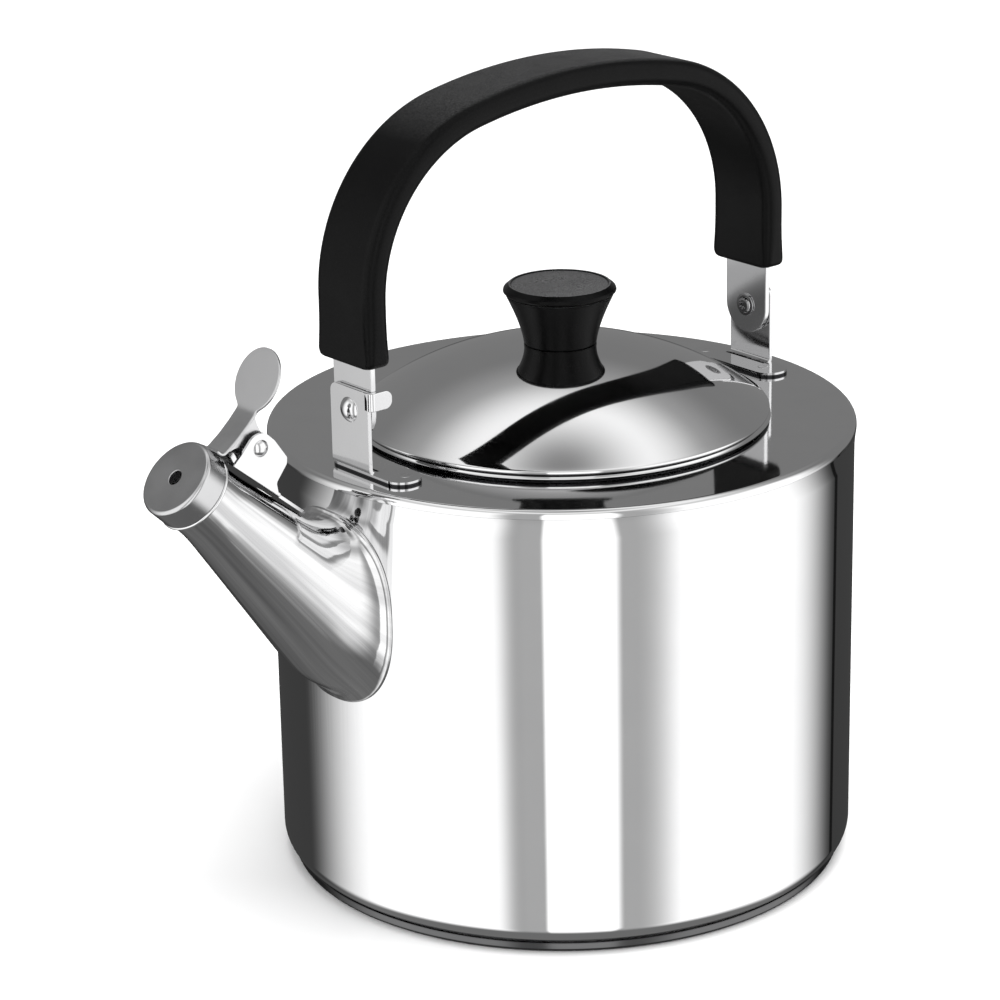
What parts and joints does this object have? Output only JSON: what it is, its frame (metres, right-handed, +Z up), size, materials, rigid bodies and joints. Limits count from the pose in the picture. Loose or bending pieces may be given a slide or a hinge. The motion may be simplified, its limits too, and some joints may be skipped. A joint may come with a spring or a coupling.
{
  "type": "stovetop whistling kettle",
  "caption": "Round steel stovetop kettle with an angled welded spout, a sprung flip-up whistle cap, a lift-off domed lid with a knob and a folding strap handle with a black grip.",
  "frame": {"origin": "centre of the base's underside, where the kettle rests on the stove", "axes": "+Z up; -X towards the spout; the handle folds down towards +Y"},
  "size_m": [0.2688, 0.2012, 0.2785],
  "materials": {
    "polished_steel": "mirror-polished stainless steel",
    "base_steel": "finely ground magnetic stainless steel",
    "spreader_aluminium": "as rolled",
    "pressed_steel": "pressed and polished stainless steel",
    "whistle_steel": "satin stainless steel",
    "spring_steel": "black oiled spring wire",
    "grip_plastic": "fine-grained black phenolic",
    "knob_plastic": "fine-grained black phenolic",
    "insert_brass": "turned"
  },
  "bodies": {
    "kettle": {"body_wall": "polished_steel", "heat_spreader": "spreader_aluminium", "base_disc": "base_steel", "top_plate": "polished_steel", "spout": "polished_steel", "mouth_ring": "polished_steel", "whistle_bracket": "pressed_steel", "whistle_pin": "pressed_steel", "whistle_spring": "spring_steel", "bracket_front": "pressed_steel", "bracket_rear": "pressed_steel", "rivet_front": "pressed_steel", "rivet_rear": "pressed_steel", "rivet_washers": "pressed_steel"},
    "handle": {"handle_strap": "pressed_steel", "handle_grip": "grip_plastic"},
    "lid": {"lid_dome": "polished_steel", "lid_collar": "polished_steel", "knob_body": "knob_plastic", "knob_cap": "knob_plastic", "knob_insert": "insert_brass", "knob_screw": "pressed_steel"},
    "whistle": {"whistle_cap": "whistle_steel", "whistle_disc": "whistle_steel", "whistle_lever": "whistle_steel"}
  },
  "joints": [
    {"name": "handle_fold", "type": "hinge", "parent": "kettle", "child": "handle", "pos_m": [0, 0, 0.1773], "axis": [-1, 0, 0], "range_deg": [0, 93]},
    {"name": "lid_lift", "type": "slide", "parent": "kettle", "child": "lid", "axis": [0, 0, 1], "range_m": [0, 0.045]},
    {"name": "whistle_flip", "type": "hinge", "parent": "kettle", "child": "whistle", "pos_m": [-0.1313, 0, 0.1751], "axis": [0, 1, 0], "range_deg": [0, 45], "stiffness_Nm_per_rad": 0.05, "springref_deg": -34.38, "deforming": ["whistle_spring"]}
  ]
}
